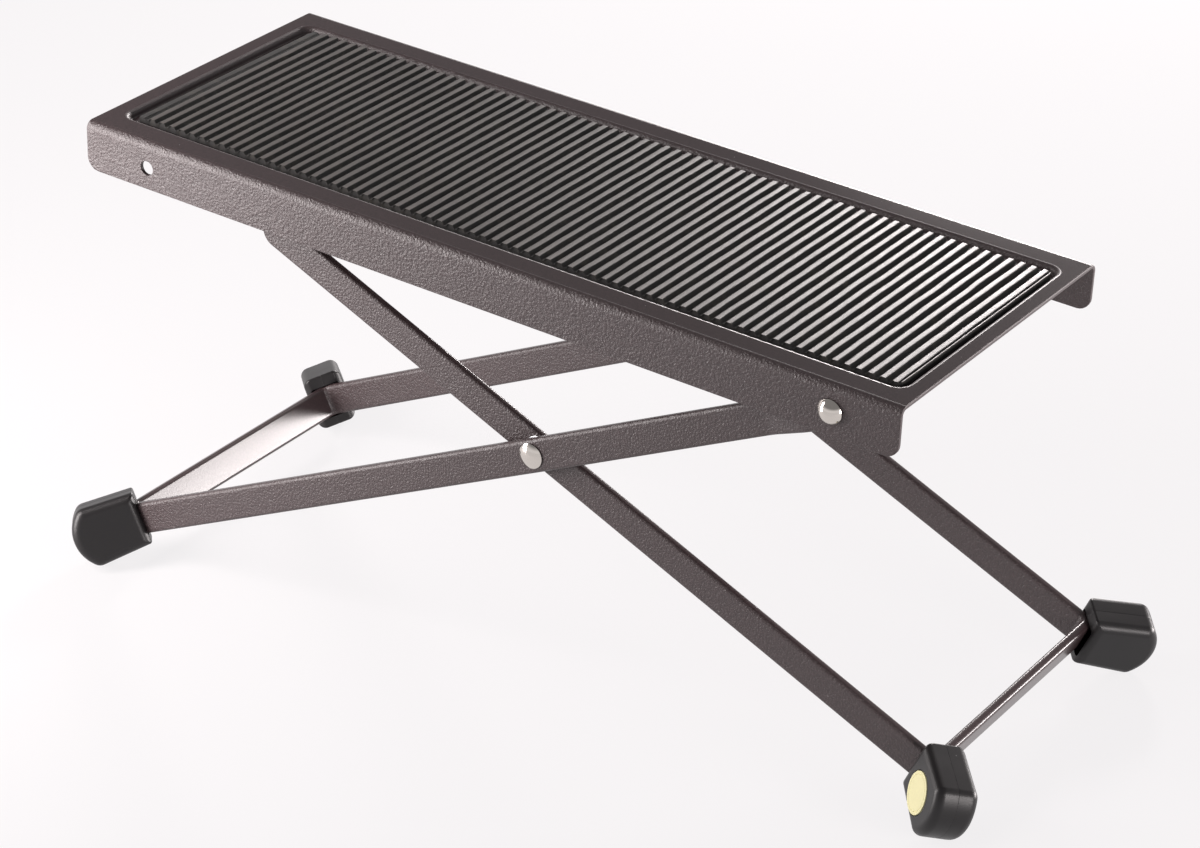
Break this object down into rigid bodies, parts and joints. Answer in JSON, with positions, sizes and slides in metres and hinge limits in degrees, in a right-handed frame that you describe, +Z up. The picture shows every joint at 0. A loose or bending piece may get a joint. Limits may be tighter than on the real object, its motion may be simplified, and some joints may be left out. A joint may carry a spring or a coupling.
{
  "type": "guitar footrest",
  "caption": "Folding guitar footrest: a sloping steel plate with a ribbed rubber mat on scissor legs of bent flat strip with rubber boots. It folds flat and its height can be set.",
  "frame": {"origin": "on the floor, under the middle of the opened footrest", "axes": "+X along the plate towards its hinge end, +Y to the rear, +Z up; the plate slopes down towards +X"},
  "size_m": [0.3152, 0.1306, 0.1469],
  "materials": {
    "satin_black_powder_coat": "satin, fine wrinkle",
    "ribbed_black_rubber": "matt",
    "moulded_black_rubber": "satin",
    "nickel_plate": "polished",
    "zinc_plated_steel": "satin",
    "cream_inlay": "satin"
  },
  "bodies": {
    "outer_frame": {"outer_leg_frame": "satin_black_powder_coat", "outer_foot_front": "moulded_black_rubber", "outer_foot_rear": "moulded_black_rubber", "crossing_rivet_front": "nickel_plate", "crossing_rivet_rear": "nickel_plate", "crossing_washer_front": "zinc_plated_steel", "crossing_washer_rear": "zinc_plated_steel"},
    "inner_frame": {"inner_leg_frame": "satin_black_powder_coat", "adjuster_rod": "satin_black_powder_coat", "inner_foot_front": "moulded_black_rubber", "inner_foot_rear": "moulded_black_rubber", "foot_label": "cream_inlay"},
    "plate": {"top_plate": "satin_black_powder_coat", "rubber_mat": "ribbed_black_rubber", "height_rack_front": "satin_black_powder_coat", "height_rack_rear": "satin_black_powder_coat", "hinge_rivet_front": "nickel_plate", "hinge_rivet_rear": "nickel_plate"}
  },
  "joints": [
    {"name": "legs_fold", "type": "hinge", "parent": "outer_frame", "child": "inner_frame", "pos_m": [0.01409, 0, 0.07784], "axis": [0, -1, 0], "range_deg": [-28, 49]},
    {"name": "plate_tilt", "type": "hinge", "parent": "outer_frame", "child": "plate", "pos_m": [0.11319, 0, 0.11896], "axis": [0, -1, 0], "range_deg": [-15.6, 27.05]}
  ],
  "couplings": [
    {"joint": "plate_tilt", "follows": "legs_fold", "ratio": 0.5504}
  ]
}
